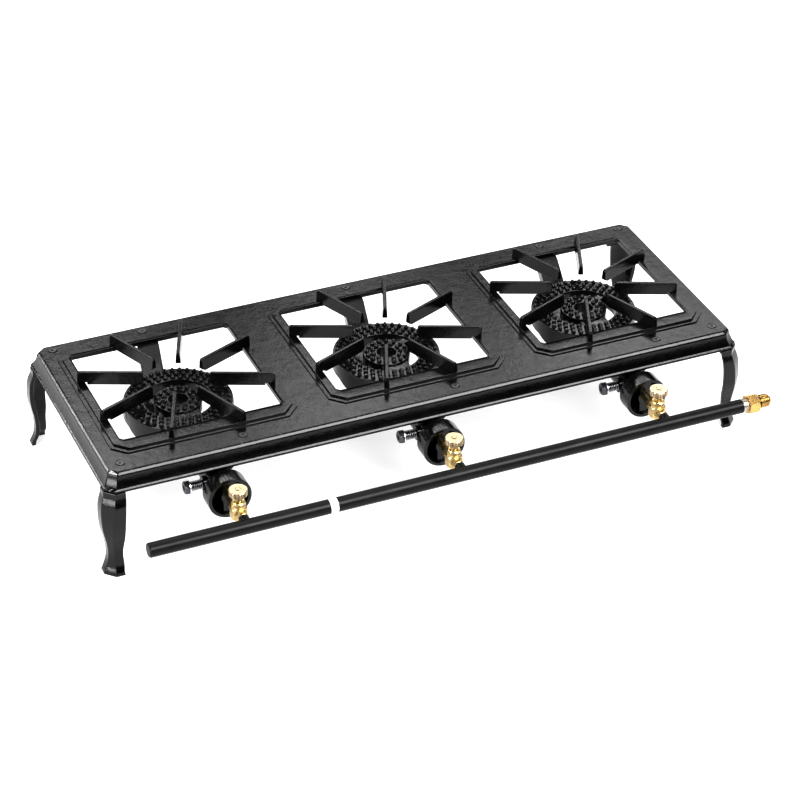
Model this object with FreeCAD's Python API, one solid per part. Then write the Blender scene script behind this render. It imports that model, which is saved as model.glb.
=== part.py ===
import FreeCAD, Part
import math
import os

# Three-burner cast-iron gas stove. Millimetres, +Z up, the long side along X, the valves at -Y.
# Everything is laid out about the point on the floor under the middle of the top casting, then
# moved so that the origin is the middle of the bounding box's bottom face.

V = FreeCAD.Vector
UP = V(0, 0, 1)

# ---- top casting -------------------------------------------------------------------------
top_half_length = 409.0
top_half_depth = 142.5
top_z = 138.8
top_thickness = 4.0
top_corner_cut = 9.0
edge_round_drop = 3.7
edge_round_out = 3.3
skirt_drop = 23.7
skirt_flare = 8.2
skirt_mid_flare = 4.5
skirt_wall = 4.0
skirt_top_inset = 2.8
lip_out = 2.4
lip_height = 5.0
lip_edge_drop = 1.75
lip_round = 1.0
lip_corner_cut = 10.8

burner_pitch = 276.5
burner_centres = [-burner_pitch, 0.0, burner_pitch]
station_names = ["left", "middle", "right"]

rim_centre_y = 5.0
rim_half_x = 118.0
rim_half_y = 117.0
rim_corner_cut = 16.0
rim_step_width = 5.0
rim_step_height = 1.5
rim_height = 3.9
opening_half_x = 102.5
opening_front = -86.0
opening_back = 107.0
opening_corner_cut = 4.0
rim_bevel_width = 7.0
rim_bevel_side = 2.0

# ---- pot supports ------------------------------------------------------------------------
fin_count = 8
fin_first_angle = 22.5
fin_centre_y = 4.0
fin_half_square = 111.0
fin_inner_radius = 40.0
fin_top_thickness = 4.4
fin_root_thickness = 7.0
fin_top_z = top_z + 17.7
fin_bottom_z = top_z + 0.9
fin_toe_chamfer = 5.0
fin_heel_cut = 3.0
fin_foot_radius = 108.0
fin_nose_chamfer = 2.0
fin_heel_chamfer = 2.5
fin_heel_drop = 1.5

# ---- legs --------------------------------------------------------------------------------
# height above the floor, bulge past the top casting's edge, corner facet cut, flange width
leg_stations = [
    (109.0, 11.6, 11.8, 12.5),
    (100.0, 14.6, 12.7, 13.6),
    (88.0, 16.5, 12.4, 14.6),
    (74.0, 16.7, 11.0, 15.3),
    (60.0, 15.5, 9.0, 15.5),
    (47.0, 12.9, 6.6, 14.6),
    (35.0, 11.1, 5.8, 12.0),
    (22.0, 10.8, 6.8, 10.3),
    (10.0, 13.7, 9.7, 10.3),
    (0.0, 17.0, 11.5, 11.5),
]
leg_wall = 5.0
leg_neck_bulge = 1.5
leg_neck_wall = 5.0
leg_shoulder_wall = 14.6
leg_neck_extra_flange = 3.0
leg_neck_straight = 6.0
leg_skirt_gap = 0.3
leg_tab_thickness = 5.0
leg_tab_half = 11.0

# ---- fasteners ---------------------------------------------------------------------------
screw_radius = 2.5
screw_hole_radius = 2.75
screw_head_radius = 4.6
screw_head_depth = 2.4
screw_length = 15.0
cross_slot_length = 5.0
cross_slot_width = 1.0
cross_slot_depth = 1.4
nut_across_flats = 8.0
nut_height = 4.0
nut_room_radius = 5.8
leg_screw_x = 393.0
leg_screw_front_y = -126.0
leg_screw_back_y = 132.5
burner_front_screw_dx = 36.5
burner_front_screw_y = -126.5
burner_back_screw_y = 132.5

# ---- burner casting ----------------------------------------------------------------------
ring_top_z = 120.0
ring_inner_radius = 42.0
ring_outer_radius = 67.0
ring_depth = 18.0
# radius and drop below the ring's top, down the outside of the bowl
bowl_profile = [(67.0, 0.0), (68.0, 6.0), (68.0, 24.0), (64.0, 34.0), (56.0, 44.0)]
bowl_slope_start_y = -8.0
bowl_slope = 0.5
disc_radius = 29.5
disc_hole_radius = 12.0
disc_hole_depth = 8.0
disc_depth = 14.0
# direction from the middle, width, depth of its top below the ring's top
web_list = [(30.0, 10.0, 2.0), (155.0, 38.0, 9.0)]
web_start_radius = 20.5
web_end_radius = 45.0
duct_start_radius = 23.5
duct_sunk = 2.0
casting_wall = 4.0
disc_wall = 3.0
nub_height = 3.6
nub_base_radius = 2.8
nub_top_radius = 1.6
nub_rows = [(47.0, 32), (54.5, 37), (62.0, 42), (17.5, 11), (24.5, 16)]

air_axis_z = 90.5
tube_outer_radius = 17.0
tube_bore_radius = 13.0
tube_rear_y = 6.0
disc_port_y = -19.5
disc_port_radius = 5.0
ring_port_radius = 8.0
port_roof = 7.0
cup_mouth_y = -178.5
cup_back_y = -157.0
cup_neck_y = -146.0
cup_outer_radius = 27.0
cup_inner_radius = 22.8
cup_inner_depth = 20.0
bridge_front_y = -174.5
bridge_thickness = 6.0
bridge_half_width = 7.5
bridge_hub_radius = 9.5

front_arm_left = -14.0
front_arm_right = 46.0
front_arm_y = -131.0
front_arm_thickness = 6.0
front_pad_size = 18.0
front_arm_rise = 22.0
front_arm_top_x = -4.0
front_arm_end_depth = 9.0
front_arm_root_z = 6.0
back_arm_half_width = 13.5
back_arm_angle = -11.0
back_arm_pivot_y = 112.0
back_arm_rib = 5.0
back_arm_start_y = 56.0
back_arm_rise_y = 103.0
back_arm_end_y = 138.0
back_arm_root_drop = 5.0
back_arm_root_depth = 6.0
back_arm_rib_depth = 13.0
pad_thickness = 5.0

# ---- air adjusting screw -----------------------------------------------------------------
adjuster_y = -138.5
adjuster_radius = 4.0
adjuster_head_start = -43.5
adjuster_head_thickness = 5.5
adjuster_across_flats = 15.0
adjuster_end_x = -12.5
adjuster_dimple_radius = 3.2
adjuster_dimple_depth = 0.8
washer_radius = 7.8
washer_thickness = 1.5
boss_face_x = -20.5
boss_radius = 9.0
spring_mean_radius = 5.3
spring_wire_radius = 0.7
spring_turns = 6
washer_gap = 0.2
running_gap = 0.05

# ---- manifold ----------------------------------------------------------------------------
manifold_y = -237.4
manifold_z = air_axis_z
manifold_radius = 8.9
manifold_bore = 6.9
manifold_left_x = -397.8
manifold_right_x = 377.2
manifold_port_radius = 3.5
plug_length = 12.0
plug_face = 1.6
plug_bevel = 1.2
socket_radius = 6.4
socket_end_y = -222.1
label_left_x = -175.8
label_width = 10.0
label_thickness = 0.15
nipple_radius = 8.3
nipple_bore = 5.2
nipple_right_x = 396.9
nipple_tail = 14.0
fitting_left_x = 385.0
fitting_hex_length = 15.0
fitting_across_flats = 22.0
fitting_neck_length = 2.5
fitting_neck_radius = 6.6
flare_thread_radius = 7.94
flare_thread_length = 11.5
flare_cone_length = 3.0
flare_cone_step = 0.9
flare_tip_radius = 5.0
fitting_bore = 4.0

# ---- valve -------------------------------------------------------------------------------
valve_y = -205.0
valve_flats = 18.5
valve_bottom_z = 81.5
valve_hex_top_z = 98.0
valve_boss_radius = 7.2
valve_boss_front_y = -214.5
valve_inlet_flats = 13.0
valve_front_y = -221.5
valve_back_y = -193.5
valve_shank_radius = 4.9
valve_shank_end_y = -228.0
inlet_way_z = 87.6
outlet_way_z = 91.2
gas_way_radius = 1.6
barrel_radius = 8.6
barrel_top_z = 100.5
stem_radius = 2.5
stem_tip_radius = 0.8
stem_tip_z = 89.0
stem_tip_length = 5.0
stem_way_radius = 3.2
seat_radius = 1.4
seat_z = 90.5
chamber_z = 93.0
chamber_radius = 4.5
seal_top_z = 95.5
bonnet_hex_flats = 15.5
bonnet_hex_top_z = 105.5
bonnet_neck_radius = 4.6
bonnet_top_z = 110.0
knob_radius = 11.4
knob_top_z = 122.0
knob_bottom_z = 110.4
knob_cone_height = 4.4
knob_neck_radius = 6.0
knob_edge_bevel = 0.8
knob_roof = 3.0
knob_flute_count = 24
knob_flute_radius = 0.8
knob_dish_radius = 3.4
knob_dish_depth = 0.6
knob_screw_radius = 2.2
knob_screw_height = 1.2
knob_screw_shank = 1.2
knob_screw_length = 5.0
spud_hex_flats = 14.0
spud_hex_length = 6.5
spud_radius = 5.0
spud_tail_radius = 4.2
spud_tail_length = 5.0
spud_tip_y = -164.0
spud_nose = 4.0
spud_tip_radius = 2.4
spud_way_radius = 1.8
orifice_radius = 0.6
orifice_length = 3.0

hexagon_bevel = 0.12

# a cut tool runs this far past the face that it cuts through
over = 1.0


def box(x0, x1, y0, y1, z0, z1):
    return Part.makeBox(x1 - x0, y1 - y0, z1 - z0, V(x0, y0, z0))


def rod(radius, start, direction, length):
    return Part.makeCylinder(radius, length, start, direction)


def taper(r0, r1, start, direction, length):
    return Part.makeCone(r0, r1, length, start, direction)


def prism(points, vector):
    closed = points + [points[0]]
    return Part.Face(Part.makePolygon(closed)).extrude(vector)


def hexagon(flats, start, direction, length):
    radius = flats / math.sqrt(3.0)
    side = UP if abs(direction.dot(UP)) < 0.5 else V(0, 1, 0)
    other = direction.cross(side)
    points = []
    for corner in range(6):
        angle = math.radians(60.0 * corner)
        points.append(start + side * (radius * math.cos(angle)) + other * (radius * math.sin(angle)))
    return prism(points, direction * length)


def rounded_hexagon(flats, start, direction, length):
    radius = flats / math.sqrt(3.0)
    bevel = hexagon_bevel * flats
    crown = taper(radius + length - bevel, radius - bevel, start, direction, length)
    return hexagon(flats, start, direction, length).common(crown)


def turned(outline):
    points = [V(r, 0, z) for r, z in outline]
    face = Part.Face(Part.makePolygon(points + [points[0]]))
    return face.revolve(V(0, 0, 0), UP, 360)


def cut_rectangle(x0, x1, y0, y1, corner, z):
    points = [
        V(x0 + corner, y0, z), V(x1 - corner, y0, z), V(x1, y0 + corner, z), V(x1, y1 - corner, z),
        V(x1 - corner, y1, z), V(x0 + corner, y1, z), V(x0, y1 - corner, z), V(x0, y0 + corner, z),
    ]
    return Part.makePolygon(points + [points[0]])


def cut_block(x0, x1, y0, y1, corner, z0, z1):
    return Part.Face(cut_rectangle(x0, x1, y0, y1, corner, z0)).extrude(V(0, 0, z1 - z0))


def edge_ring(out, corner, z):
    return cut_rectangle(-top_half_length - out, top_half_length + out,
                         -top_half_depth - out, top_half_depth + out, corner, z)


def fused(pieces):
    whole = pieces[0].multiFuse(pieces[1:])
    return whole.removeSplitter()


def screw_points():
    legs = []
    for x in (-leg_screw_x, leg_screw_x):
        for y in (leg_screw_front_y, leg_screw_back_y):
            legs.append(V(x, y, top_z))
    burners = []
    for centre in burner_centres:
        burners.append(V(centre + burner_front_screw_dx, burner_front_screw_y, top_z))
        burners.append(V(centre, burner_back_screw_y, top_z))
    return legs, burners


def skirt_sections():
    lip_top = top_z - skirt_drop + lip_height
    bottom = top_z - skirt_drop
    lip = skirt_flare + lip_out
    mid_cut = (top_corner_cut + lip_corner_cut) / 2
    return [
        edge_ring(0, top_corner_cut, top_z),
        edge_ring(edge_round_out, top_corner_cut, top_z - edge_round_drop),
        edge_ring(skirt_mid_flare, mid_cut, (top_z + lip_top) / 2),
        edge_ring(skirt_flare, lip_corner_cut, lip_top),
        edge_ring(lip, lip_corner_cut, lip_top - lip_edge_drop),
        edge_ring(lip, lip_corner_cut, bottom + lip_round),
        edge_ring(lip - lip_round, lip_corner_cut, bottom),
    ]


def top_cavity():
    lip_top = top_z - skirt_drop + lip_height
    bottom = top_z - skirt_drop - over
    underside = top_z - top_thickness
    mid_cut = (top_corner_cut + lip_corner_cut) / 2
    sections = [
        edge_ring(-skirt_top_inset, top_corner_cut, underside),
        edge_ring(skirt_mid_flare - skirt_wall, mid_cut, (top_z + lip_top) / 2),
        edge_ring(skirt_flare - skirt_wall, lip_corner_cut, lip_top),
        edge_ring(skirt_flare - skirt_wall, lip_corner_cut, bottom),
    ]
    return Part.makeLoft(sections, True, True)


def rim(centre):
    x0, x1 = centre - rim_half_x, centre + rim_half_x
    y0, y1 = rim_centre_y - rim_half_y, rim_centre_y + rim_half_y
    s = rim_step_width
    low = cut_block(x0, x1, y0, y1, rim_corner_cut, top_z - over, top_z + rim_step_height)
    high = cut_block(x0 + s, x1 - s, y0 + s, y1 - s, rim_corner_cut - over, top_z, top_z + rim_height)
    return low.fuse(high)


def opening(centre):
    hole = cut_block(centre - opening_half_x, centre + opening_half_x, opening_front, opening_back,
                     opening_corner_cut, top_z - 2 * top_thickness, top_z + 2 * rim_height)
    b = rim_bevel_width
    side = rim_bevel_side
    z = top_z + rim_height
    upper = cut_rectangle(centre - opening_half_x - side, centre + opening_half_x + side,
                          opening_front - b, opening_back + side, opening_corner_cut + side, z)
    lower = cut_rectangle(centre - opening_half_x, centre + opening_half_x,
                          opening_front, opening_back, opening_corner_cut, z - rim_step_height)
    bevel = Part.makeLoft([lower, upper], True, True)
    return hole.fuse(bevel)


def countersunk_hole(point):
    shank = rod(screw_hole_radius, point, V(0, 0, -1), 2 * top_thickness)
    head = taper(screw_head_radius, screw_hole_radius, point, V(0, 0, -1), screw_head_depth)
    return shank.fuse(head)


def top_frame():
    body = Part.makeLoft(skirt_sections(), True, True).cut(top_cavity())
    body = body.multiFuse([rim(centre) for centre in burner_centres])
    legs, burners = screw_points()
    tools = [opening(centre) for centre in burner_centres]
    tools += [countersunk_hole(point) for point in legs + burners]
    for tool in tools:
        body = body.cut(tool)
    return body.removeSplitter()


def pot_support(centre, angle):
    direction = math.radians(angle)
    reach = fin_half_square / max(abs(math.cos(direction)), abs(math.sin(direction)))
    inner, t = fin_inner_radius, fin_root_thickness / 2
    rim_top = top_z + rim_height
    foot_start = fin_foot_radius
    low = fin_bottom_z + fin_heel_cut
    profile = [
        (inner, low), (inner + fin_toe_chamfer, fin_bottom_z), (foot_start, fin_bottom_z),
        (foot_start, rim_top), (reach, rim_top),
        (reach, fin_top_z - fin_heel_drop), (reach - fin_heel_chamfer, fin_top_z),
        (inner + fin_nose_chamfer, fin_top_z), (inner, fin_top_z - fin_nose_chamfer),
    ]
    points = [V(r, -t, z) for r, z in profile]
    blade = prism(points, V(0, 2 * t, 0))
    crest = fin_top_thickness / 2
    draft = prism([V(0, -t, fin_bottom_z), V(0, t, fin_bottom_z), V(0, crest, fin_top_z),
                   V(0, -crest, fin_top_z)], V(2 * fin_half_square, 0, 0))
    blade = blade.common(draft)
    blade.rotate(V(0, 0, 0), UP, angle)
    blade.translate(V(centre, fin_centre_y, 0))
    return blade


def pot_supports(centre, frame):
    blades = []
    for index in range(fin_count):
        blade = pot_support(centre, fin_first_angle + index * 360.0 / fin_count)
        blades.append(blade.cut(frame))
    return Part.makeCompound(blades)


def leg_section(z, bulge, cut, flange, wall):
    x, y = top_half_length + bulge, top_half_depth + bulge
    inner_cut = cut + (math.sqrt(2.0) - 1.0) * wall
    points = [
        V(x - cut - flange, y, z), V(x - cut, y, z), V(x, y - cut, z), V(x, y - cut - flange, z),
        V(x - wall, y - cut - flange, z), V(x - wall, y - inner_cut, z),
        V(x - inner_cut, y - wall, z), V(x - cut - flange, y - wall, z),
    ]
    return Part.makePolygon(points + [points[0]])


def leg(side_x, side_y):
    screw_y = leg_screw_back_y if side_y > 0 else -leg_screw_front_y
    lip_z = top_z - skirt_drop
    neck_z = top_z - top_thickness
    shaft = Part.makeLoft([leg_section(z, b, c, f, leg_wall) for z, b, c, f in leg_stations], True, False)
    z, bulge, cut, flange = leg_stations[0]
    shoulder = Part.Face(leg_section(z, bulge, cut, flange, leg_shoulder_wall))
    shoulder = shoulder.extrude(V(0, 0, lip_z - z))
    neck = Part.Face(leg_section(z, leg_neck_bulge, cut, flange + leg_neck_extra_flange, leg_neck_wall))
    neck = neck.extrude(V(0, 0, neck_z - z))
    gap = leg_skirt_gap
    trim = Part.makeLoft([
        edge_ring(leg_neck_bulge, cut, z),
        edge_ring(leg_neck_bulge, cut, lip_z + leg_neck_straight),
        edge_ring(-skirt_top_inset - gap, top_corner_cut + gap, neck_z),
    ], True, True)
    tab_x = leg_screw_x - leg_tab_half
    tab_y = screw_y - leg_tab_half
    tab = box(tab_x, top_half_length, tab_y, top_half_depth, neck_z - leg_tab_thickness, neck_z)
    upper = neck.fuse(tab).common(trim)
    whole = fused([shaft, shoulder, upper])
    hole = rod(screw_hole_radius, V(leg_screw_x, screw_y, neck_z + over), V(0, 0, -1),
               leg_tab_thickness + 2 * over)
    whole = whole.cut(hole)
    if side_x < 0:
        whole = whole.mirror(V(0, 0, 0), V(1, 0, 0))
    if side_y < 0:
        whole = whole.mirror(V(0, 0, 0), V(0, 1, 0))
    return whole


def screw(point):
    head = taper(screw_head_radius, screw_radius, point, V(0, 0, -1), screw_head_depth)
    shank = rod(screw_radius, point, V(0, 0, -1), screw_length)
    body = head.fuse(shank)
    half, w = cross_slot_length / 2, cross_slot_width / 2
    top = point.z
    slots = box(point.x - half, point.x + half, point.y - w, point.y + w, top - cross_slot_depth, top + 1)
    slots = slots.fuse(box(point.x - w, point.x + w, point.y - half, point.y + half,
                           top - cross_slot_depth, top + 1))
    return body.cut(slots)


def nut(point):
    seat = V(point.x, point.y, top_z - top_thickness - pad_thickness)
    body = rounded_hexagon(nut_across_flats, seat, V(0, 0, -1), nut_height)
    return body.cut(rod(screw_radius, seat, V(0, 0, -1), nut_height))


def ring_body():
    depth = bowl_profile[-1][1]
    outline = [(ring_inner_radius, ring_top_z)]
    outline += [(radius, ring_top_z - drop) for radius, drop in bowl_profile]
    outline.append((ring_inner_radius, ring_top_z - depth))
    ring = turned(outline)
    far = 2 * ring_outer_radius
    shallow = ring_top_z - ring_depth
    deep = shallow - bowl_slope * (far + bowl_slope_start_y)
    wedge = prism([
        V(-far, far, deep - depth), V(-far, far, shallow), V(-far, bowl_slope_start_y, shallow),
        V(-far, -far, deep), V(-far, -far, deep - depth),
    ], V(2 * far, 0, 0))
    return ring.cut(wedge)


def ring_cavity():
    w = casting_wall
    top = ring_top_z - w
    floor = ring_top_z - ring_depth + w
    return turned([
        (ring_inner_radius + w, top), (ring_outer_radius - w, top),
        (ring_outer_radius - w, floor), (ring_inner_radius + w, floor),
    ])


def disc_body():
    bottom = ring_top_z - disc_depth
    hole_floor = ring_top_z - disc_hole_depth
    return turned([
        (0, bottom), (disc_radius, bottom), (disc_radius, ring_top_z),
        (disc_hole_radius, ring_top_z), (disc_hole_radius, hole_floor), (0, hole_floor),
    ])


def disc_cavity():
    w = disc_wall
    floor = ring_top_z - disc_depth + w
    return turned([
        (disc_hole_radius + w, ring_top_z - w), (disc_radius - w, ring_top_z - w),
        (disc_radius - w, floor), (disc_hole_radius + w, floor),
    ])


def webs():
    pieces = []
    for angle, width, sunk in web_list:
        web = box(web_start_radius, web_end_radius, -width / 2, width / 2,
                  ring_top_z - disc_depth, ring_top_z - sunk)
        web.rotate(V(0, 0, 0), UP, angle)
        pieces.append(web)
    pieces.append(box(-tube_outer_radius, tube_outer_radius, -web_end_radius, -duct_start_radius,
                      air_axis_z, ring_top_z - duct_sunk))
    return pieces


def nubs():
    pieces = []
    for row, (radius, count) in enumerate(nub_rows):
        for index in range(count):
            angle = 2 * math.pi * (index + 0.5 * (row % 2)) / count
            spot = V(radius * math.cos(angle), radius * math.sin(angle), ring_top_z)
            pieces.append(taper(nub_base_radius, nub_top_radius, spot, UP, nub_height))
    return pieces


def cup_outer():
    along = V(0, 1, 0)
    cup = rod(cup_outer_radius, V(0, cup_mouth_y, air_axis_z), along, cup_back_y - cup_mouth_y)
    neck = taper(cup_outer_radius, tube_outer_radius, V(0, cup_back_y, air_axis_z), along,
                 cup_neck_y - cup_back_y)
    tube = rod(tube_outer_radius, V(0, cup_back_y, air_axis_z), along, tube_rear_y - cup_back_y)
    boss = rod(boss_radius, V(boss_face_x, adjuster_y, air_axis_z), V(1, 0, 0), -boss_face_x)
    return [cup, neck, tube, boss]


def cup_inner():
    along = V(0, 1, 0)
    start = V(0, cup_mouth_y - over, air_axis_z)
    cup = rod(cup_inner_radius, start, along, cup_inner_depth + over)
    bore = rod(tube_bore_radius, start, along, tube_rear_y - casting_wall - cup_mouth_y + over)
    port_length = ring_top_z - port_roof - air_axis_z
    ring_port_y = -(ring_inner_radius + ring_outer_radius) / 2
    disc_port = rod(disc_port_radius, V(0, disc_port_y, air_axis_z), UP, port_length)
    ring_port = rod(ring_port_radius, V(0, ring_port_y, air_axis_z), UP, port_length)
    adjuster = rod(adjuster_radius + running_gap, V(boss_face_x - over, adjuster_y, air_axis_z),
                   V(1, 0, 0), adjuster_end_x - boss_face_x + 3 * over)
    return cup, [bore, disc_port, ring_port, adjuster]


def bridge():
    reach = (cup_inner_radius + cup_outer_radius) / 2
    bar = box(-bridge_half_width, bridge_half_width, bridge_front_y, bridge_front_y + bridge_thickness,
              air_axis_z - reach, air_axis_z + reach)
    hub = rod(bridge_hub_radius, V(0, bridge_front_y, air_axis_z), V(0, 1, 0), bridge_thickness)
    hole = rod(spud_radius, V(0, bridge_front_y - over, air_axis_z), V(0, 1, 0), bridge_thickness + 2 * over)
    return bar.fuse(hub).cut(hole)


def front_arm():
    underside = top_z - top_thickness
    y0, y1 = front_arm_y - front_arm_thickness / 2, front_arm_y + front_arm_thickness / 2
    web = prism([
        V(front_arm_left, y0, air_axis_z), V(front_arm_left, y0, air_axis_z + front_arm_rise),
        V(front_arm_top_x, y0, underside), V(front_arm_right, y0, underside),
        V(front_arm_right, y0, underside - front_arm_end_depth),
        V(tube_outer_radius, y0, air_axis_z + front_arm_root_z), V(tube_outer_radius, y0, air_axis_z),
    ], V(0, y1 - y0, 0))
    half = front_pad_size / 2
    pad = box(burner_front_screw_dx - half, burner_front_screw_dx + half,
              burner_front_screw_y - half, burner_front_screw_y + half, underside - pad_thickness, underside)
    return [web, pad]


def back_arm():
    underside = top_z - top_thickness
    pad_z = underside - pad_thickness
    start_z = ring_top_z - back_arm_root_drop
    root_z = ring_top_z - ring_depth
    h = back_arm_half_width
    slab = prism([
        V(-h, back_arm_start_y, start_z - back_arm_root_depth), V(-h, back_arm_start_y, start_z),
        V(-h, back_arm_rise_y, underside), V(-h, back_arm_end_y, underside),
        V(-h, back_arm_end_y, pad_z), V(-h, back_arm_rise_y, pad_z),
    ], V(2 * h, 0, 0))
    pieces = [slab]
    rib_end_y = back_arm_rise_y + pad_thickness
    for x in (-h, h - back_arm_rib):
        pieces.append(prism([
            V(x, back_arm_start_y, root_z), V(x, back_arm_start_y, start_z),
            V(x, back_arm_rise_y, underside), V(x, rib_end_y, underside),
            V(x, rib_end_y, underside - back_arm_rib_depth), V(x, bowl_profile[1][0], root_z),
        ], V(back_arm_rib, 0, 0)))
    for piece in pieces:
        piece.rotate(V(0, back_arm_pivot_y, 0), UP, back_arm_angle)
    return pieces


def burner():
    solid = fused([ring_body(), disc_body()] + webs() + cup_outer() + front_arm() + back_arm())
    cup, hollows = cup_inner()
    solid = solid.cut(cup)
    for hollow in hollows + [ring_cavity(), disc_cavity()]:
        solid = solid.cut(hollow)
    solid = solid.fuse(bridge())
    drop = 3 * pad_thickness
    pad_z = top_z - top_thickness - pad_thickness
    for x, y in ((burner_front_screw_dx, burner_front_screw_y), (0, burner_back_screw_y)):
        solid = solid.cut(rod(screw_hole_radius, V(x, y, top_z), V(0, 0, -1), drop))
        solid = solid.cut(rod(nut_room_radius, V(x, y, pad_z), V(0, 0, -1), drop))
    solid = solid.multiFuse(nubs())
    return solid.removeSplitter()


def adjuster_bolt(centre):
    start = V(centre + adjuster_head_start, adjuster_y, air_axis_z)
    along = V(1, 0, 0)
    head_end = start + along * adjuster_head_thickness
    head = rounded_hexagon(adjuster_across_flats, head_end, along * -1, adjuster_head_thickness)
    length = adjuster_end_x - adjuster_head_start - adjuster_head_thickness
    shank = rod(adjuster_radius, head_end, along, length)
    dimple = rod(adjuster_dimple_radius, start, along, adjuster_dimple_depth)
    return head.fuse(shank).cut(dimple)


def adjuster_washer(centre):
    start = V(centre + adjuster_head_start + adjuster_head_thickness, adjuster_y, air_axis_z)
    ring = rod(washer_radius, start, V(1, 0, 0), washer_thickness)
    return ring.cut(rod(adjuster_radius + washer_gap, start, V(1, 0, 0), washer_thickness))


def adjuster_spring(centre):
    start = adjuster_head_start + adjuster_head_thickness + washer_thickness
    free = boss_face_x - start
    rise = free - 2 * spring_wire_radius
    pitch = rise / spring_turns
    helix = Part.makeHelix(pitch, rise, spring_mean_radius)
    circle = Part.Circle(V(spring_mean_radius, 0, 0), V(0, 1, 0), spring_wire_radius)
    coil = Part.Wire(helix.Edges).makePipeShell([Part.Wire([circle.toShape()])], True, True)
    coil.rotate(V(0, 0, 0), V(0, 1, 0), 90)
    coil.translate(V(centre + start + spring_wire_radius, adjuster_y, air_axis_z))
    return coil


def manifold_axis(x):
    return V(x, manifold_y, manifold_z)


def manifold_tube():
    along = V(1, 0, 0)
    length = manifold_right_x - manifold_left_x
    tube = rod(manifold_radius, manifold_axis(manifold_left_x), along, length)
    tube = tube.cut(rod(manifold_bore, manifold_axis(manifold_left_x), along, length))
    for centre in burner_centres:
        tube = tube.cut(rod(manifold_port_radius, manifold_axis(centre), V(0, 1, 0), 2 * manifold_radius))
    return tube


def manifold_end_plug():
    along = V(1, 0, 0)
    face = manifold_axis(manifold_left_x - plug_face)
    core = rod(manifold_bore, face, along, plug_length + plug_face)
    return core.fuse(taper(manifold_radius - plug_bevel, manifold_radius, face, along, plug_face))


def manifold_sockets():
    pieces = []
    back = V(0, 1, 0)
    length = socket_end_y - manifold_y
    for centre in burner_centres:
        body = rod(socket_radius, manifold_axis(centre), back, length)
        body = body.cut(rod(manifold_radius, manifold_axis(centre - 2 * socket_radius), V(1, 0, 0),
                            4 * socket_radius))
        pieces.append(body.cut(rod(valve_shank_radius, manifold_axis(centre), back, length)))
    return Part.makeCompound(pieces)


def manifold_label():
    along = V(1, 0, 0)
    band = rod(manifold_radius + label_thickness, manifold_axis(label_left_x), along, label_width)
    return band.cut(rod(manifold_radius, manifold_axis(label_left_x), along, label_width))


def inlet_nipple():
    along = V(1, 0, 0)
    start = manifold_axis(manifold_right_x - nipple_tail)
    length = nipple_right_x - manifold_right_x
    tail = rod(manifold_bore, start, along, nipple_tail)
    whole = tail.fuse(rod(nipple_radius, manifold_axis(manifold_right_x), along, length))
    return whole.cut(rod(nipple_bore, start, along, nipple_tail + length))


def inlet_fitting():
    along = V(1, 0, 0)
    x = fitting_left_x
    hexa = rounded_hexagon(fitting_across_flats, manifold_axis(x), along, fitting_hex_length)
    x += fitting_hex_length
    neck = rod(fitting_neck_radius, manifold_axis(x - over), along, fitting_neck_length + 2 * over)
    x += fitting_neck_length
    thread = rod(flare_thread_radius, manifold_axis(x), along, flare_thread_length)
    x += flare_thread_length
    cone = taper(flare_thread_radius - flare_cone_step, flare_tip_radius, manifold_axis(x), along,
                 flare_cone_length)
    whole = fused([hexa, neck, thread, cone])
    socket = rod(nipple_radius, manifold_axis(fitting_left_x), along, nipple_right_x - fitting_left_x)
    length = x + flare_cone_length - fitting_left_x
    return whole.cut(socket).cut(rod(fitting_bore, manifold_axis(fitting_left_x), along, length))


def valve_rod(radius, centre, z0, z1):
    return rod(radius, V(centre, valve_y, z0), UP, z1 - z0)


def gas_rod(radius, centre, y0, y1, z):
    return rod(radius, V(centre, y0, z), V(0, 1, 0), y1 - y0)


def flat_topped_hexagon(flats, centre, y0, y1):
    start = V(centre, y0, air_axis_z)
    body = rounded_hexagon(flats, start, V(0, math.copysign(1, y1 - y0), 0), abs(y1 - y0))
    body.rotate(start, V(0, 1, 0), 30)
    return body


def valve_body(centre):
    bottom = V(centre, valve_y, valve_bottom_z)
    bar = rounded_hexagon(valve_flats, bottom, UP, valve_hex_top_z - valve_bottom_z)
    foot = rounded_hexagon(valve_flats, V(centre, valve_y, valve_hex_top_z), V(0, 0, -1),
                           valve_hex_top_z - valve_bottom_z)
    boss = gas_rod(valve_boss_radius, centre, valve_boss_front_y, valve_back_y, air_axis_z)
    inlet = flat_topped_hexagon(valve_inlet_flats, centre, valve_boss_front_y, valve_front_y)
    shank = gas_rod(valve_shank_radius, centre, valve_shank_end_y, valve_front_y + over, air_axis_z)
    barrel = valve_rod(barrel_radius, centre, air_axis_z, barrel_top_z)
    body = fused([bar.common(foot), boss, inlet, shank, barrel])
    tools = [
        gas_rod(gas_way_radius, centre, valve_shank_end_y, valve_y + seat_radius, inlet_way_z),
        valve_rod(seat_radius, centre, inlet_way_z, seat_z),
        valve_rod(stem_way_radius, centre, seat_z, chamber_z),
        valve_rod(chamber_radius, centre, chamber_z, barrel_top_z),
        gas_rod(gas_way_radius, centre, valve_y, valve_back_y, outlet_way_z),
        gas_rod(spud_tail_radius, centre, valve_back_y - spud_tail_length, valve_back_y, air_axis_z),
    ]
    for tool in tools:
        body = body.cut(tool)
    return body


def bonnet_nut(centre):
    skirt = valve_rod(chamber_radius, centre, seal_top_z, barrel_top_z)
    seat = V(centre, valve_y, barrel_top_z)
    hexa = rounded_hexagon(bonnet_hex_flats, seat, UP, bonnet_hex_top_z - barrel_top_z)
    neck = valve_rod(bonnet_neck_radius, centre, bonnet_hex_top_z, bonnet_top_z)
    return fused([skirt, hexa, neck]).cut(valve_rod(stem_radius + running_gap, centre, seal_top_z,
                                                    bonnet_top_z))


def stem_seal(centre):
    ring = valve_rod(chamber_radius, centre, chamber_z, seal_top_z)
    return ring.cut(valve_rod(stem_radius + running_gap, centre, chamber_z, seal_top_z))


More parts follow.
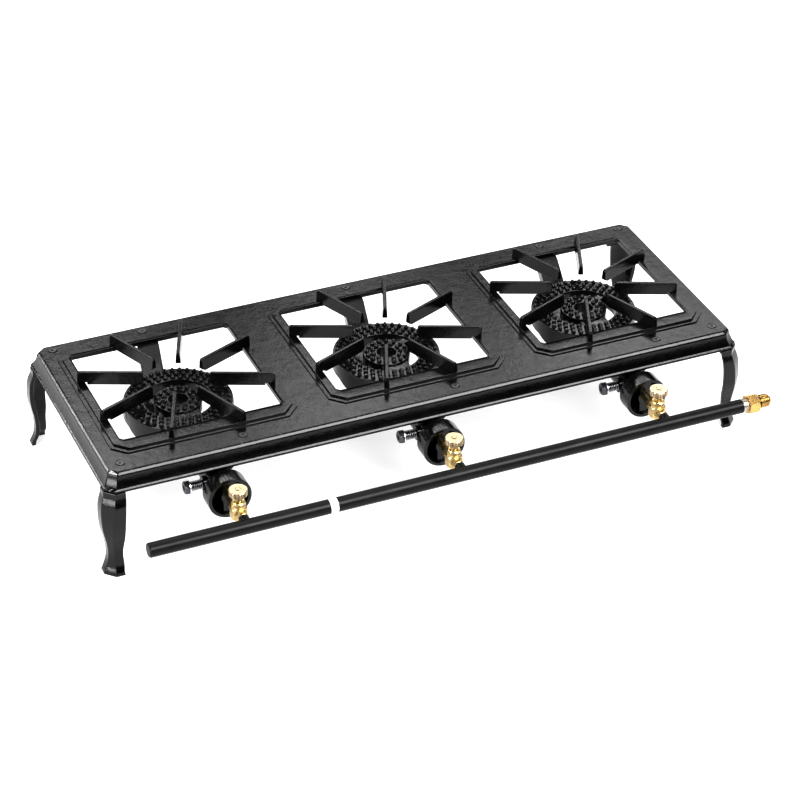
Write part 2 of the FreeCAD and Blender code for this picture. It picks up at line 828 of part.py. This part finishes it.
def valve_stem(centre):
    tip = taper(stem_tip_radius, stem_radius, V(centre, valve_y, stem_tip_z), UP, stem_tip_length)
    shank = valve_rod(stem_radius, centre, stem_tip_z + stem_tip_length, knob_top_z - knob_roof)
    return tip.fuse(shank).cut(valve_rod(knob_screw_shank, centre, knob_top_z - knob_screw_length,
                                         knob_top_z))


def knob(centre):
    wall_z = knob_bottom_z + knob_cone_height
    cone = taper(knob_neck_radius, knob_radius, V(centre, valve_y, knob_bottom_z), UP, knob_cone_height)
    wall = valve_rod(knob_radius, centre, wall_z, knob_top_z)
    height = knob_top_z - wall_z
    crown = taper(knob_radius - knob_edge_bevel + height, knob_radius - knob_edge_bevel,
                  V(centre, valve_y, wall_z), UP, height)
    body = cone.fuse(wall.common(crown))
    tools = [
        valve_rod(stem_radius, centre, knob_bottom_z, knob_top_z - knob_roof),
        valve_rod(knob_dish_radius, centre, knob_top_z - knob_dish_depth, knob_top_z),
        valve_rod(knob_screw_shank, centre, knob_top_z - knob_screw_length, knob_top_z),
    ]
    for index in range(knob_flute_count):
        angle = 2 * math.pi * index / knob_flute_count
        spot = V(centre + knob_radius * math.cos(angle), valve_y + knob_radius * math.sin(angle),
                 knob_bottom_z)
        tools.append(rod(knob_flute_radius, spot, UP, knob_top_z - knob_bottom_z))
    for tool in tools:
        body = body.cut(tool)
    return body


def knob_screw(centre):
    face_z = knob_top_z - knob_dish_depth
    head = valve_rod(knob_screw_radius, centre, face_z, face_z + knob_screw_height)
    return head.fuse(valve_rod(knob_screw_shank, centre, knob_top_z - knob_screw_length, face_z))


def orifice_spud(centre):
    hex_end_y = valve_back_y + spud_hex_length
    nose_y = spud_tip_y - spud_nose
    hexa = flat_topped_hexagon(spud_hex_flats, centre, valve_back_y, hex_end_y)
    tail = gas_rod(spud_tail_radius, centre, valve_back_y - spud_tail_length, valve_back_y, air_axis_z)
    body = gas_rod(spud_radius, centre, hex_end_y, nose_y, air_axis_z)
    nose = taper(spud_radius, spud_tip_radius, V(centre, nose_y, air_axis_z), V(0, 1, 0), spud_nose)
    whole = fused([hexa, tail, body, nose])
    way_end_y = spud_tip_y - orifice_length
    way = gas_rod(spud_way_radius, centre, valve_back_y - spud_tail_length, way_end_y, air_axis_z)
    return whole.cut(way).cut(gas_rod(orifice_radius, centre, way_end_y, spud_tip_y, air_axis_z))


def build():
    parts = {}
    frame = top_frame()
    parts["top_frame"] = frame
    parts["leg_front_left"] = leg(-1, -1)
    parts["leg_front_right"] = leg(1, -1)
    parts["leg_back_left"] = leg(-1, 1)
    parts["leg_back_right"] = leg(1, 1)
    leg_points, burner_points = screw_points()
    parts["leg_screws"] = Part.makeCompound([screw(point) for point in leg_points])
    parts["leg_nuts"] = Part.makeCompound([nut(point) for point in leg_points])
    parts["burner_screws"] = Part.makeCompound([screw(point) for point in burner_points])
    parts["burner_nuts"] = Part.makeCompound([nut(point) for point in burner_points])
    parts["manifold_tube"] = manifold_tube()
    parts["manifold_end_plug"] = manifold_end_plug()
    parts["manifold_sockets"] = manifold_sockets()
    parts["manifold_label"] = manifold_label()
    parts["inlet_nipple"] = inlet_nipple()
    parts["inlet_fitting"] = inlet_fitting()
    casting = burner()
    for centre, name in zip(burner_centres, station_names):
        one = casting.copy()
        one.translate(V(centre, 0, 0))
        parts["burner_" + name] = one
        parts["pot_supports_" + name] = pot_supports(centre, frame)
        parts["adjuster_bolt_" + name] = adjuster_bolt(centre)
        parts["adjuster_washer_" + name] = adjuster_washer(centre)
        parts["adjuster_spring_" + name] = adjuster_spring(centre)
        parts["valve_body_" + name] = valve_body(centre)
        parts["bonnet_nut_" + name] = bonnet_nut(centre)
        parts["stem_seal_" + name] = stem_seal(centre)
        parts["valve_stem_" + name] = valve_stem(centre)
        parts["knob_" + name] = knob(centre)
        parts["knob_screw_" + name] = knob_screw(centre)
        parts["orifice_spud_" + name] = orifice_spud(centre)
    return parts


# the legs' feet reach furthest left, right and back, and the inlet's hexagon furthest forward
leg_reach = max(bulge for z, bulge, cut, flange in leg_stations)
front_y = manifold_y - fitting_across_flats / math.sqrt(3.0)
origin_y = (front_y + top_half_depth + leg_reach) / 2

os.makedirs("parts", exist_ok=True)
for node, shape in build().items():
    shape.translate(V(0, -origin_y, 0))
    shape.exportStep("parts/" + node + ".step")
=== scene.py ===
import math

import bmesh
import bpy
from mathutils import Matrix, Vector


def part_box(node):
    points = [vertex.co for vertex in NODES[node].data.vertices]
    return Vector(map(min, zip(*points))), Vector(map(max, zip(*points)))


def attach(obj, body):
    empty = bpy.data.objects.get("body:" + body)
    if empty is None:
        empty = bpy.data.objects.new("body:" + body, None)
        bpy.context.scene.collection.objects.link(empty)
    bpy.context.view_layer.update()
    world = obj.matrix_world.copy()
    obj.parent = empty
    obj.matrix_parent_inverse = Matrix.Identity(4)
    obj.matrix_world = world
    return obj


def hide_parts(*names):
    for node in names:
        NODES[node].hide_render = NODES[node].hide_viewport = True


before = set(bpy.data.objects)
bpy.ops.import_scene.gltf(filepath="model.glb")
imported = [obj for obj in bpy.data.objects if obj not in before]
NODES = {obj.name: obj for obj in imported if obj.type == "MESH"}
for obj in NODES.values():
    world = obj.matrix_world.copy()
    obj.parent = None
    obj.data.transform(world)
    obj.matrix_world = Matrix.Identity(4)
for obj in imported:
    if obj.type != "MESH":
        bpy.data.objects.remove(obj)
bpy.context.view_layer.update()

STATIONS = ("left", "middle", "right")
MM = 0.001

# Sizes of the pieces made here, in metres.
FIN_OFFSET = 4.0 * MM
RING_TOP = 120.0 * MM
# Each row of nubs round a burner: its radius and how many nubs it has.
NUB_ROWS = ((47.0 * MM, 32), (54.5 * MM, 37), (62.0 * MM, 42), (17.5 * MM, 11), (24.5 * MM, 16))
NUB_RADIUS = 3.15 * MM
NUB_HEIGHT = 4.1 * MM
NUB_SINK = 0.3 * MM
BEAD_LEVELS = 5
BEAD_STEPS = 12
THREAD_STEPS = 48
THREAD_COLUMNS = 8
FLARE_THREAD_END = 3.0 * MM
FLARE_THREAD_LENGTH = 11.5 * MM
FLARE_THREAD = (7.97 * MM, 8.5 * MM, 1.5 * MM)
ADJUSTER_THREAD = (4.02 * MM, 4.4 * MM, 1.25 * MM)

# The top casting: its rims' height above the plate, how near a level counts as at it, how wide
# a border holds the outline, and how far below the plate the skirt's edges start.
RIM_STEPS = 3.9 * MM
LEVEL_MARGIN = 0.1 * MM
OUTLINE_WIDTH = 12.0 * MM
SKIRT_DROP = 1.0 * MM
# Edges are welded, flattened and called sharp at these limits.
WELD = 0.01 * MM
FLAT_ANGLE = 0.6
SHARP_ANGLE = 28.0
CREASE_ANGLE = 48.0
# The shortest edges that are rounded, so that small facets stay as they are.
SHORTEST_EDGE = 3.0 * MM
LEG_EDGE = 1.2 * MM
SUPPORT_EDGE = 1.5 * MM
BURNER_EDGE = 1.4 * MM
# Rounded edges: width and segments.
PLATE_ROUND = (1.5 * MM, 3)
DISH_ROUND = (1.9 * MM, 2)
SKIRT_ROUND = (1.2 * MM, 3)
RIM_ROUND = (0.35 * MM, 2)
LEG_ROUND = (0.9 * MM, 3)
SUPPORT_ROUND = (0.8 * MM, 3)
BURNER_ROUND = (0.7 * MM, 2)

FLOOR_SIZE = 14.0
FLOOR_CELLS = 28
FLOOR_GLOW = 0.62

LOW_MIDDLE = (0, 0, 0.1)
STOVE_TOP = (0, 0, 0.3)
# The panels behind the stove: place along X and power in watts.
BACK_PANELS = ((-1.05, 12.0), (-0.35, 11.0), (0.35, 8.5), (1.05, 7.5), (1.75, 7.5), (2.4, 7.5))
# Each has a high panel of that power and a dim low one, at these places along Y and Z.
HIGH_PANEL_PLACE = (2.6, 2.45)
HIGH_PANEL_SIZE = (0.5, 1.0)
LOW_PANEL_PLACE = (2.5, 1.5)
LOW_PANEL_SIZE = (0.45, 0.8)
LOW_PANEL_POWER = 0.6
# The other lamps: name, place, what it is aimed at, width and height, power in watts.
LAMPS = (
    ("front_top_softbox", (0.75, -1.65, 1.95), LOW_MIDDLE, (1.9, 1.35), 110.0),
    ("front_far_panel", (-0.5, -3.2, 1.8), STOVE_TOP, (4.5, 1.6), 26.0),
    ("side_panel_right", (3.0, 1.7, 1.7), STOVE_TOP, (1.8, 1.8), 26.0),
    ("side_panel_left", (-3.0, 1.4, 1.7), STOVE_TOP, (1.8, 1.8), 26.0),
    ("left_softbox", (-2.6, -1.1, 0.62), (0, 0, 0.15), (0.8, 0.8), 26.0),
    ("left_top_strip", (-1.6, -0.25, 1.9), LOW_MIDDLE, (0.25, 0.9), 32.0),
    ("left_back_strip", (-1.9, 2.0, 1.1), LOW_MIDDLE, (0.35, 1.7), 24.0),
    ("overhead_softbox", (0.2, 0.3, 2.4), LOW_MIDDLE, (2.4, 0.6), 16.0),
    ("right_wall", (3.2, -0.4, 0.9), LOW_MIDDLE, (2.2, 1.4), 8.0),
    ("top_panel", (0.3, 1.3, 2.6), LOW_MIDDLE, (2.8, 1.0), 16.0),
)

# The camera: its axes, its place from the middle of the top casting, and its lens.
CAMERA_RIGHT = Vector((0.91605, -0.40068, 0.01724))
CAMERA_UP = Vector((0.21226, 0.52086, 0.82683))
CAMERA_BACK = Vector((-0.34028, -0.75376, 0.56218))
CAMERA_PLACE = Vector((-1.16519, -2.62558, 2.00005))
CAMERA_LENS = 123.27
DISPLAY_GAMMA = 0.72


# ---- shader helpers ----------------------------------------------------------------------

class Shader:
    """A material's node tree with short calls for the nodes that this scene uses."""

    def __init__(self, name):
        self.material = bpy.data.materials.new(name)
        self.material.use_nodes = True
        self.tree = self.material.node_tree
        self.surface = self.tree.nodes["Principled BSDF"]
        self.place = self.node("ShaderNodeTexCoord").outputs["Object"]

    def node(self, kind, **settings):
        made = self.tree.nodes.new(kind)
        for key, value in settings.items():
            setattr(made, key, value)
        return made

    def link(self, source, target):
        self.tree.links.new(source, target)

    def mapped(self, scale=(1, 1, 1)):
        """Object coordinates, scaled along each axis."""
        mapping = self.node("ShaderNodeMapping")
        mapping.inputs["Scale"].default_value = scale
        self.link(self.place, mapping.inputs["Vector"])
        return mapping.outputs["Vector"]

    def noise(self, size, detail=3.0, roughness=0.55, stretch=(1, 1, 1)):
        """Noise with features about `size` metres across."""
        made = self.node("ShaderNodeTexNoise")
        made.inputs["Scale"].default_value = 1.0 / size
        made.inputs["Detail"].default_value = detail
        made.inputs["Roughness"].default_value = roughness
        self.link(self.mapped(scale=stretch), made.inputs["Vector"])
        return made.outputs["Fac"]

    def cells(self, size):
        """Distance from the middle of cells about `size` metres across."""
        made = self.node("ShaderNodeTexVoronoi", feature="F1")
        made.inputs["Scale"].default_value = 1.0 / size
        self.link(self.mapped(), made.inputs["Vector"])
        return made.outputs["Distance"]

    def edges(self, low, high):
        """0 on flat faces rising to 1 on outer edges."""
        pointy = self.node("ShaderNodeNewGeometry").outputs["Pointiness"]
        return self.ramp(pointy, low, high)

    def ramp(self, value, low, high, to_low=0.0, to_high=1.0):
        """`value` stretched from low..high to to_low..to_high, and held there."""
        made = self.node("ShaderNodeMapRange")
        made.inputs["From Min"].default_value = low
        made.inputs["From Max"].default_value = high
        made.inputs["To Min"].default_value = to_low
        made.inputs["To Max"].default_value = to_high
        self.link(value, made.inputs["Value"])
        return made.outputs["Result"]

    def times(self, first, second):
        """The product of two sockets, or of a socket and a number."""
        made = self.node("ShaderNodeMath", operation="MULTIPLY")
        for socket, value in zip(made.inputs, (first, second)):
            if isinstance(value, (int, float)):
                socket.default_value = value
            else:
                self.link(value, socket)
        return made.outputs[0]

    def blend(self, factor, low, high):
        """A colour between `low` and `high`, each a colour or a socket."""
        made = self.node("ShaderNodeMix", data_type="RGBA")
        self.link(factor, made.inputs[0])
        for socket, value in ((made.inputs[6], low), (made.inputs[7], high)):
            if isinstance(value, tuple):
                socket.default_value = (*value, 1.0)
            else:
                self.link(value, socket)
        return made.outputs[2]

    def bump(self, height, strength, distance, below=None):
        """Normals bumped by `height`, on top of the normals `below`."""
        made = self.node("ShaderNodeBump")
        made.inputs["Strength"].default_value = strength
        made.inputs["Distance"].default_value = distance
        self.link(height, made.inputs["Height"])
        if below is not None:
            self.link(below, made.inputs["Normal"])
        return made.outputs["Normal"]

    def rounding(self, radius):
        """Normals turned as if every edge had this small radius."""
        made = self.node("ShaderNodeBevel", samples=4)
        made.inputs["Radius"].default_value = radius
        return made.outputs["Normal"]

    def finish(self, color, roughness, normal, metallic=0.0, **plain):
        """Links the surface's sockets; `plain` are numbers for other sockets, _ for a space."""
        self.link(color, self.surface.inputs["Base Color"])
        self.link(roughness, self.surface.inputs["Roughness"])
        self.link(normal, self.surface.inputs["Normal"])
        self.surface.inputs["Metallic"].default_value = metallic
        for key, value in plain.items():
            self.surface.inputs[key.replace("_", " ")].default_value = value
        return self.material


# ---- materials ---------------------------------------------------------------------------

def enamel(name, dark, light, gloss, lump, peel):
    """Black enamel on cast iron: sand-cast lumps, orange peel, pinholes, thin worn edges.

    `gloss` is the lowest and highest roughness, `lump` and `peel` the heights of the relief."""
    s = Shader(name)
    patches = s.noise(0.035, detail=4.0)
    color = s.blend(s.ramp(patches, 0.35, 0.7), dark, light)
    wear = s.times(s.edges(0.54, 0.64), s.ramp(s.noise(0.005, detail=5.0), 0.55, 0.68))
    color = s.blend(wear, color, (0.05, 0.045, 0.04))
    roughness = s.ramp(s.noise(0.012, detail=5.0, roughness=0.65), 0.3, 0.75, *gloss)
    lumps = s.bump(s.noise(0.011, detail=3.0, roughness=0.5), 1.0, lump)
    peeled = s.noise(0.0035, detail=2.5, roughness=0.6, stretch=(1, 1.6, 1))
    ripples = s.bump(peeled, 1.0, peel, lumps)
    grain = s.bump(s.noise(0.0011, detail=2.0, roughness=0.7), 1.0, 0.6 * peel, ripples)
    pinholes = s.ramp(s.cells(0.006), 0.02, 0.14)
    return s.finish(color, roughness, s.bump(pinholes, 0.35, 0.06 * MM, grain), IOR=1.5)


def painted_tube(name):
    """Satin black paint on drawn tube, with faint lines along it."""
    s = Shader(name)
    color = s.blend(s.ramp(s.noise(0.02, detail=4.0), 0.35, 0.7), (0.002, 0.002, 0.0021),
                    (0.006, 0.006, 0.0062))
    streaks = s.noise(0.0016, detail=3.0, stretch=(0.04, 1, 1))
    roughness = s.ramp(streaks, 0.3, 0.7, 0.3, 0.42)
    lines = s.bump(streaks, 0.25, 0.06 * MM)
    return s.finish(color, roughness, s.bump(s.noise(0.0012), 0.2, 0.05 * MM, lines), IOR=1.5,
                    Specular_IOR_Level=0.3)


def metal(name, dark, light, gloss, scratch=(1, 1, 1), wear=0.0):
    """Machined metal: fine tool lines, stains, and brighter worn edges."""
    s = Shader(name)
    stains = s.ramp(s.noise(0.004, detail=5.0, roughness=0.6), 0.3, 0.7)
    color = s.blend(stains, dark, light)
    bright = tuple(min(1.0, c * 1.25) for c in light)
    color = s.blend(s.times(s.edges(0.52, 0.6), wear), color, bright)
    roughness = s.ramp(s.noise(0.0016, detail=4.0), 0.25, 0.75, *gloss)
    marks = s.noise(0.0006, detail=3.0, stretch=scratch)
    lines = s.bump(marks, 0.3, 0.03 * MM, s.rounding(0.25 * MM))
    dents = s.bump(s.noise(0.0028, detail=2.0), 0.22, 0.12 * MM, lines)
    return s.finish(color, roughness, dents, metallic=1.0)


def plain_matt(name, dark, light, grain):
    """Rubber or paper: matt with a fine grain."""
    s = Shader(name)
    color = s.blend(s.ramp(s.noise(0.003, detail=5.0), 0.35, 0.65), dark, light)
    roughness = s.ramp(s.noise(0.002), 0.3, 0.7, 0.6, 0.8)
    return s.finish(color, roughness, s.bump(s.noise(grain, detail=4.0), 0.3, 0.04 * MM))


def dress(node, material):
    """Gives a CAD node a better material."""
    slots = NODES[node].data.materials
    slots.clear()
    slots.append(material)


TOP_ENAMEL = enamel("top_enamel", (0.0012, 0.0012, 0.0013), (0.003, 0.003, 0.0032), (0.09, 0.22),
                    0.28 * MM, 0.12 * MM)
LEG_ENAMEL = enamel("leg_enamel", (0.0012, 0.0012, 0.0013), (0.003, 0.003, 0.0032), (0.07, 0.18),
                    0.35 * MM, 0.1 * MM)
IRON = enamel("burner_enamel", (0.0015, 0.0015, 0.0016), (0.005, 0.005, 0.0052), (0.07, 0.2),
              0.3 * MM, 0.06 * MM)
TUBE_PAINT = painted_tube("tube_paint")
BLACK_STEEL = metal("black_steel", (0.06, 0.06, 0.062), (0.16, 0.16, 0.165), (0.25, 0.45), wear=0.6)
BOLT_STEEL = metal("bolt_steel", (0.04, 0.04, 0.045), (0.12, 0.12, 0.13), (0.25, 0.45), wear=0.8)
ZINC = metal("zinc_plate", (0.5, 0.5, 0.51), (0.72, 0.73, 0.74), (0.2, 0.4), wear=0.6)
SPRING = metal("spring_wire", (0.22, 0.22, 0.23), (0.48, 0.48, 0.5), (0.2, 0.35))
BARE_STEEL = metal("bare_steel", (0.2, 0.16, 0.13), (0.5, 0.46, 0.42), (0.25, 0.5), (6, 1, 1), 0.5)
BRASS = metal("machined_brass", (0.4, 0.3, 0.15), (0.62, 0.5, 0.28), (0.24, 0.42), wear=0.9)
KNOB_BRASS = metal("knob_brass", (0.36, 0.28, 0.18), (0.5, 0.41, 0.29), (0.2, 0.36), wear=0.9)
# The inlet fitting's brass is a darker copy of the valve's brass: painted shade that holds down the
# strong reflection of the front softbox on it.
FITTING_BRASS_PAINTED_SHADE = metal("fitting_brass_painted_shade", (0.3, 0.19, 0.07), (0.5, 0.35, 0.15), (0.18, 0.36), wear=0.9)
RUBBER = plain_matt("seal_rubber", (0.01, 0.01, 0.01), (0.03, 0.03, 0.03), 0.0006)
PAPER = plain_matt("plain_band", (0.42, 0.42, 0.41), (0.52, 0.52, 0.51), 0.0008)


# ---- castings: the CAD shape with its edges rounded as a foundry leaves them ------------------

def sharp(edge, angle=SHARP_ANGLE):
    return len(edge.link_faces) == 2 and edge.calc_face_angle(0) > math.radians(angle)


def convex(edge):
    return edge.calc_face_angle_signed(0) > 0


def middle_of(edge):
    return (edge.verts[0].co + edge.verts[1].co) / 2


def cast_mesh(node, material, groups):
    """The CAD node's own mesh, welded, with each group of edges rounded.

    A group is ((width, segments), test of an edge)."""
    shape = bmesh.new()
    shape.from_mesh(NODES[node].data)
    bmesh.ops.remove_doubles(shape, verts=shape.verts, dist=WELD)
    bmesh.ops.dissolve_limit(shape, angle_limit=math.radians(FLAT_ANGLE), verts=shape.verts,
                             edges=shape.edges, use_dissolve_boundaries=False, delimit=set())
    for (width, segments), wanted in groups:
        edges = [edge for edge in shape.edges if sharp(edge) and wanted(edge)]
        bmesh.ops.bevel(shape, geom=edges, offset=width, offset_type="OFFSET", segments=segments,
                        profile=0.5, affect="EDGES", clamp_overlap=False)
    bmesh.ops.recalc_face_normals(shape, faces=shape.faces)
    for face in shape.faces:
        face.smooth = True
    for edge in shape.edges:
        edge.smooth = not sharp(edge, CREASE_ANGLE)
    mesh = bpy.data.meshes.new("cast_" + node)
    shape.to_mesh(mesh)
    shape.free()
    mesh.materials.append(material)
    return mesh


def cast_piece(node, mesh, shift=0.0):
    """Stands for a CAD node, with a cast mesh moved by `shift` along X."""
    piece = bpy.data.objects.new("cast_" + node, mesh)
    piece.location.x = shift
    bpy.context.scene.collection.objects.link(piece)
    normals = piece.modifiers.new("normals", "WEIGHTED_NORMAL")
    normals.keep_sharp = True
    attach(piece, "stove")
    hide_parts(node)


def long_edge(edge, shortest=SHORTEST_EDGE):
    return edge.calc_length() >= shortest


def inside_outline(spot):
    """How far a point is inside the top casting's box, seen from above."""
    low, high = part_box("top_frame")
    return min(spot.x - low.x, high.x - spot.x, spot.y - low.y, high.y - spot.y)


def plate_level():
    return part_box("top_frame")[1].z - RIM_STEPS


def plate_rim(edge):
    """The plate's outline, at the top of its rounded edge."""
    spot = middle_of(edge)
    high_enough = spot.z > plate_level() - LEVEL_MARGIN
    return long_edge(edge) and high_enough and inside_outline(spot) < OUTLINE_WIDTH


def countersink(edge):
    """The mouth of a screw's countersink, dished where the casting is spot-faced."""
    spot = middle_of(edge)
    level = abs(spot.z - plate_level()) < LEVEL_MARGIN
    return level and inside_outline(spot) > OUTLINE_WIDTH and not long_edge(edge) and convex(edge)


def long_convex(shortest):
    return lambda edge: long_edge(edge, shortest) and convex(edge)


def below_plate(edge):
    return long_edge(edge) and convex(edge) and middle_of(edge).z < plate_level() - SKIRT_DROP


def above_plate(edge):
    return long_edge(edge) and convex(edge) and middle_of(edge).z > plate_level() + LEVEL_MARGIN


def burner_centre(station):
    """The middle of a burner: its pot supports are centred on it, FIN_OFFSET further back."""
    low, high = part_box("pot_supports_" + station)
    return Vector(((low.x + high.x) / 2, (low.y + high.y) / 2 - FIN_OFFSET, RING_TOP))


def make_castings():
    cast_piece("top_frame", cast_mesh("top_frame", TOP_ENAMEL, (
        (PLATE_ROUND, plate_rim),
        (DISH_ROUND, countersink),
        (SKIRT_ROUND, below_plate),
        (RIM_ROUND, above_plate),
    )))
    for side in ("front_left", "front_right", "back_left", "back_right"):
        leg = cast_mesh("leg_" + side, LEG_ENAMEL, ((LEG_ROUND, long_convex(LEG_EDGE)),))
        cast_piece("leg_" + side, leg)
    support_groups = ((SUPPORT_ROUND, long_convex(SUPPORT_EDGE)),)
    supports = cast_mesh("pot_supports_left", TOP_ENAMEL, support_groups)
    burner = cast_mesh("burner_left", IRON, ((BURNER_ROUND, long_convex(BURNER_EDGE)),))
    for station in STATIONS:
        shift = burner_centre(station).x - burner_centre("left").x
        cast_piece("pot_supports_" + station, supports, shift)
        cast_piece("burner_" + station, burner, shift)


def dress_frame():
    for name in ("leg_screws", "burner_screws", "leg_nuts", "burner_nuts"):
        dress(name, BLACK_STEEL)


def dress_gas_parts():
    for name in ("manifold_tube", "manifold_end_plug", "manifold_sockets"):
        dress(name, TUBE_PAINT)
    dress("manifold_label", PAPER)
    dress("inlet_nipple", BARE_STEEL)
    dress("inlet_fitting", FITTING_BRASS_PAINTED_SHADE)
    for station in STATIONS:
        for kind in ("valve_body_", "bonnet_nut_", "orifice_spud_", "valve_stem_"):
            dress(kind + station, BRASS)
        for kind in ("knob_", "knob_screw_"):
            dress(kind + station, KNOB_BRASS)
        dress("stem_seal_" + station, RUBBER)
        dress("adjuster_bolt_" + station, BOLT_STEEL)
        dress("adjuster_washer_" + station, ZINC)
        dress("adjuster_spring_" + station, SPRING)


# ---- pieces made here -----------------------------------------------------------------------

def add_piece(name, points, faces, material, body):
    mesh = bpy.data.meshes.new(name)
    mesh.from_pydata(points, [], faces)
    mesh.update()
    for face in mesh.polygons:
        face.use_smooth = True
    mesh.materials.append(material)
    piece = bpy.data.objects.new(name, mesh)
    bpy.context.scene.collection.objects.link(piece)
    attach(piece, body)
    return piece


def bead_points(centre, radius, height, seed):
    """A cast bead: a dome a little out of round, as the sand leaves it."""
    points, faces = [], []
    for level in range(BEAD_LEVELS):
        tilt = math.pi / 2 * level / BEAD_LEVELS
        for step in range(BEAD_STEPS):
            turn = 2 * math.pi * step / BEAD_STEPS
            wobble = 1 + 0.05 * math.sin(3 * turn + seed) + 0.04 * math.sin(2 * turn + 1.7 * seed)
            reach = radius * math.cos(tilt) * wobble
            points.append(centre + Vector((reach * math.cos(turn), reach * math.sin(turn),
                                           height * math.sin(tilt))))
    points.append(centre + Vector((0, 0, height)))
    for level in range(BEAD_LEVELS - 1):
        for step in range(BEAD_STEPS):
            after = (step + 1) % BEAD_STEPS
            low, high = level * BEAD_STEPS, (level + 1) * BEAD_STEPS
            faces.append((low + step, low + after, high + after, high + step))
    last = (BEAD_LEVELS - 1) * BEAD_STEPS
    faces += [(last + step, last + (step + 1) % BEAD_STEPS, len(points) - 1)
              for step in range(BEAD_STEPS)]
    faces.append(tuple(reversed(range(BEAD_STEPS))))
    return points, faces


def make_nubs(station):
    centre = burner_centre(station)
    points, faces = [], []
    for row, (radius, count) in enumerate(NUB_ROWS):
        for index in range(count):
            angle = 2 * math.pi * (index + 0.5 * (row % 2)) / count
            spot = centre + Vector((radius * math.cos(angle), radius * math.sin(angle), -NUB_SINK))
            seed = 1.3 * index + 2.1 * row
            size = 1 + 0.06 * math.sin(5.1 * seed)
            dome, quads = bead_points(spot, NUB_RADIUS * size, NUB_HEIGHT * size, seed)
            faces += [tuple(corner + len(points) for corner in quad) for quad in quads]
            points += dome
    add_piece("nubs_" + station, points, faces, IRON, "stove")


def make_thread(name, start, length, sizes, material, body):
    """A helical thread sleeve along +X from `start`; sizes are root and crest radius and pitch."""
    root, crest, pitch = sizes
    steps = THREAD_STEPS
    columns = round(length / pitch * THREAD_COLUMNS)
    points, faces = [], []
    for column in range(columns + 1):
        along = length * column / columns
        fade = min(1.0, along / pitch, (length - along) / pitch)
        for step in range(steps):
            turn = 2 * math.pi * step / steps
            phase = (along / pitch - step / steps) % 1.0
            height = 1 - abs(2 * phase - 1)
            radius = root + (crest - root) * height * fade
            points.append(start + Vector((along, radius * math.cos(turn), radius * math.sin(turn))))
    for column in range(columns):
        for step in range(steps):
            after = (step + 1) % steps
            low, high = column * steps, (column + 1) * steps
            faces.append((low + step, high + step, high + after, low + after))
    faces.append(tuple(range(steps)))
    faces.append(tuple(reversed(range(columns * steps, (columns + 1) * steps))))
    return add_piece(name, points, faces, material, body)


def make_threads():
    low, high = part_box("inlet_fitting")
    start = Vector((high.x - FLARE_THREAD_END - FLARE_THREAD_LENGTH, (low.y + high.y) / 2,
                    (low.z + high.z) / 2))
    make_thread("inlet_thread", start, FLARE_THREAD_LENGTH, FLARE_THREAD, FITTING_BRASS_PAINTED_SHADE,
                "stove")
    for station in STATIONS:
        low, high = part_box("adjuster_washer_" + station)
        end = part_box("adjuster_spring_" + station)[1].x
        start = Vector((high.x, (low.y + high.y) / 2, (low.z + high.z) / 2))
        make_thread("adjuster_thread_" + station, start, end - start.x, ADJUSTER_THREAD,
                    BOLT_STEEL, "adjuster_" + station)


# ---- the room ----------------------------------------------------------------------------

def make_floor():
    size, cells = FLOOR_SIZE, FLOOR_CELLS
    step = size / cells
    points = [(-size / 2 + i * step, -size / 2 + j * step, 0.0)
              for j in range(cells + 1) for i in range(cells + 1)]
    row = cells + 1
    faces = [(j * row + i, j * row + i + 1, (j + 1) * row + i + 1, (j + 1) * row + i)
             for j in range(cells) for i in range(cells)]
    mesh = bpy.data.meshes.new("floor")
    mesh.from_pydata(points, [], faces)
    floor = bpy.data.objects.new("floor", mesh)
    bpy.context.scene.collection.objects.link(floor)
    s = Shader("pale_floor")
    color = s.blend(s.noise(0.3, detail=4.0), (0.38, 0.38, 0.38), (0.41, 0.41, 0.41))
    roughness = s.ramp(s.noise(0.05), 0.3, 0.7, 0.7, 0.85)
    relief = s.bump(s.noise(0.004), 0.05, 0.1 * MM)
    mesh.materials.append(s.finish(color, roughness, relief, Emission_Color=(1.0, 1.0, 1.0, 1.0),
                                   Emission_Strength=FLOOR_GLOW))


def area_light(name, location, target, size, power):
    data = bpy.data.lights.new(name, "AREA")
    data.shape = "RECTANGLE"
    data.size, data.size_y = size
    data.energy = power
    lamp = bpy.data.objects.new(name, data)
    lamp.location = location
    direction = Vector(target) - Vector(location)
    lamp.rotation_euler = direction.to_track_quat("-Z", "Y").to_euler()
    bpy.context.scene.collection.objects.link(lamp)


def light_room():
    world = bpy.data.worlds.new("studio")
    bpy.context.scene.world = world
    world.use_nodes = True
    back = world.node_tree.nodes["Background"]
    back.inputs["Color"].default_value = (1.0, 1.0, 1.0, 1.0)
    back.inputs["Strength"].default_value = 1.0
    world.cycles_visibility.glossy = False
    for index, (x, power) in enumerate(BACK_PANELS):
        target = (x * 0.3, 0, 0.1)
        area_light("back_panel_%d" % index, (x, *HIGH_PANEL_PLACE), target, HIGH_PANEL_SIZE, power)
        area_light("back_panel_low_%d" % index, (x, *LOW_PANEL_PLACE), target, LOW_PANEL_SIZE,
                   LOW_PANEL_POWER)
    for lamp in LAMPS:
        area_light(*lamp)


def place_camera():
    """Seen from the front left and above with a long lens."""
    data = bpy.data.cameras.new("camera")
    data.sensor_width = 36.0
    data.lens = CAMERA_LENS
    data.clip_end = 50.0
    camera = bpy.data.objects.new("camera", data)
    low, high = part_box("top_frame")
    middle = (low + high) / 2
    place = Vector((middle.x, middle.y, 0)) + CAMERA_PLACE
    turn = Matrix((CAMERA_RIGHT, CAMERA_UP, CAMERA_BACK)).transposed().to_4x4()
    camera.matrix_world = Matrix.Translation(place) @ turn
    bpy.context.scene.collection.objects.link(camera)
    bpy.context.scene.camera = camera


make_castings()
dress_frame()
dress_gas_parts()
for station in STATIONS:
    make_nubs(station)
make_threads()
make_floor()
light_room()
place_camera()
bpy.context.scene.view_settings.view_transform = "Standard"
bpy.context.scene.view_settings.gamma = DISPLAY_GAMMA
